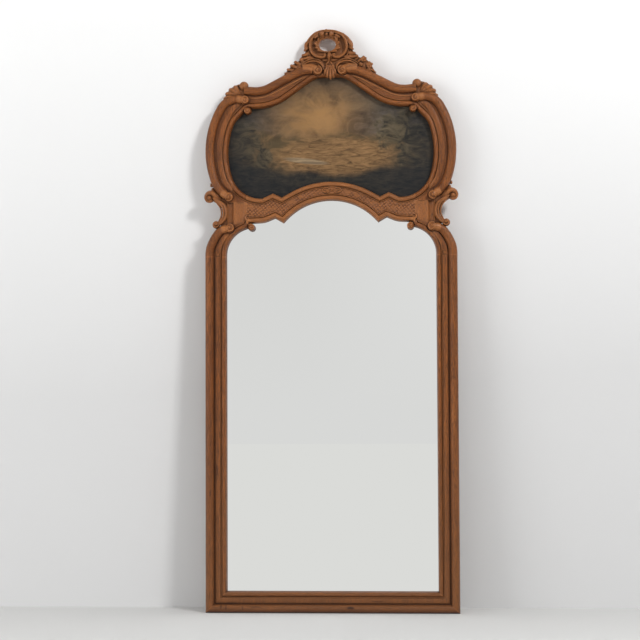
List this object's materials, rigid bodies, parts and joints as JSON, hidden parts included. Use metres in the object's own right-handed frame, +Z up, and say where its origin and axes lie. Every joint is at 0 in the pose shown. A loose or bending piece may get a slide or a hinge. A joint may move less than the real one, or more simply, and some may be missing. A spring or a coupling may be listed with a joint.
{
  "type": "trumeau mirror",
  "caption": "Tall floor or wall mirror in a carved oak frame with a shaped picture panel and a pierced crest above the mirror plate, with hanging rings let into the back.",
  "frame": {"origin": "centre of the bottom rail's underside, midway between the front roll and the back", "axes": "+X to the viewer's right, +Y to the back, +Z up the mirror"},
  "size_m": [1.012, 0.066, 2.313],
  "materials": {
    "oak": "waxed",
    "backing_wood": "raw, aged",
    "silvered_glass": "polished",
    "painted_canvas": "oil paint, satin",
    "hanger_brass": "dull",
    "fixing_steel": "dull"
  },
  "bodies": {
    "frame": {"bottom_rail": "oak", "frieze_rail": "oak", "crest_carving": "oak", "crest_shell": "oak", "crest_leaves": "oak", "crest_flowers": "oak", "frieze_cartouche": "oak", "frame_dowels": "oak", "left_stile": "oak", "right_stile": "oak", "left_shoulder": "oak", "right_shoulder": "oak", "left_neck_block": "oak", "right_neck_block": "oak", "left_side_moulding": "oak", "right_side_moulding": "oak", "left_top_moulding": "oak", "right_top_moulding": "oak", "left_ear_scroll": "oak", "right_ear_scroll": "oak", "left_corner_shell": "oak", "right_corner_shell": "oak", "left_mitre_key": "oak", "right_mitre_key": "oak", "mirror_board_1": "backing_wood", "mirror_board_2": "backing_wood", "mirror_board_3": "backing_wood", "mirror_board_4": "backing_wood", "picture_board_1": "backing_wood", "picture_board_2": "backing_wood", "picture_board_3": "backing_wood", "mirror_glass": "silvered_glass", "picture_canvas": "painted_canvas", "backing_brads": "fixing_steel", "hanger_screws": "fixing_steel", "left_hanger_strap": "hanger_brass", "right_hanger_strap": "hanger_brass"},
    "left_ring": {"left_hanging_ring": "hanger_brass"},
    "right_ring": {"right_hanging_ring": "hanger_brass"}
  },
  "joints": [
    {"name": "left_ring_swing", "type": "hinge", "parent": "frame", "child": "left_ring", "pos_m": [-0.458, 0.0228, 1.29], "axis": [1, 0, 0], "range_deg": [0, 175]},
    {"name": "right_ring_swing", "type": "hinge", "parent": "frame", "child": "right_ring", "pos_m": [0.458, 0.0228, 1.29], "axis": [1, 0, 0], "range_deg": [0, 175]}
  ]
}
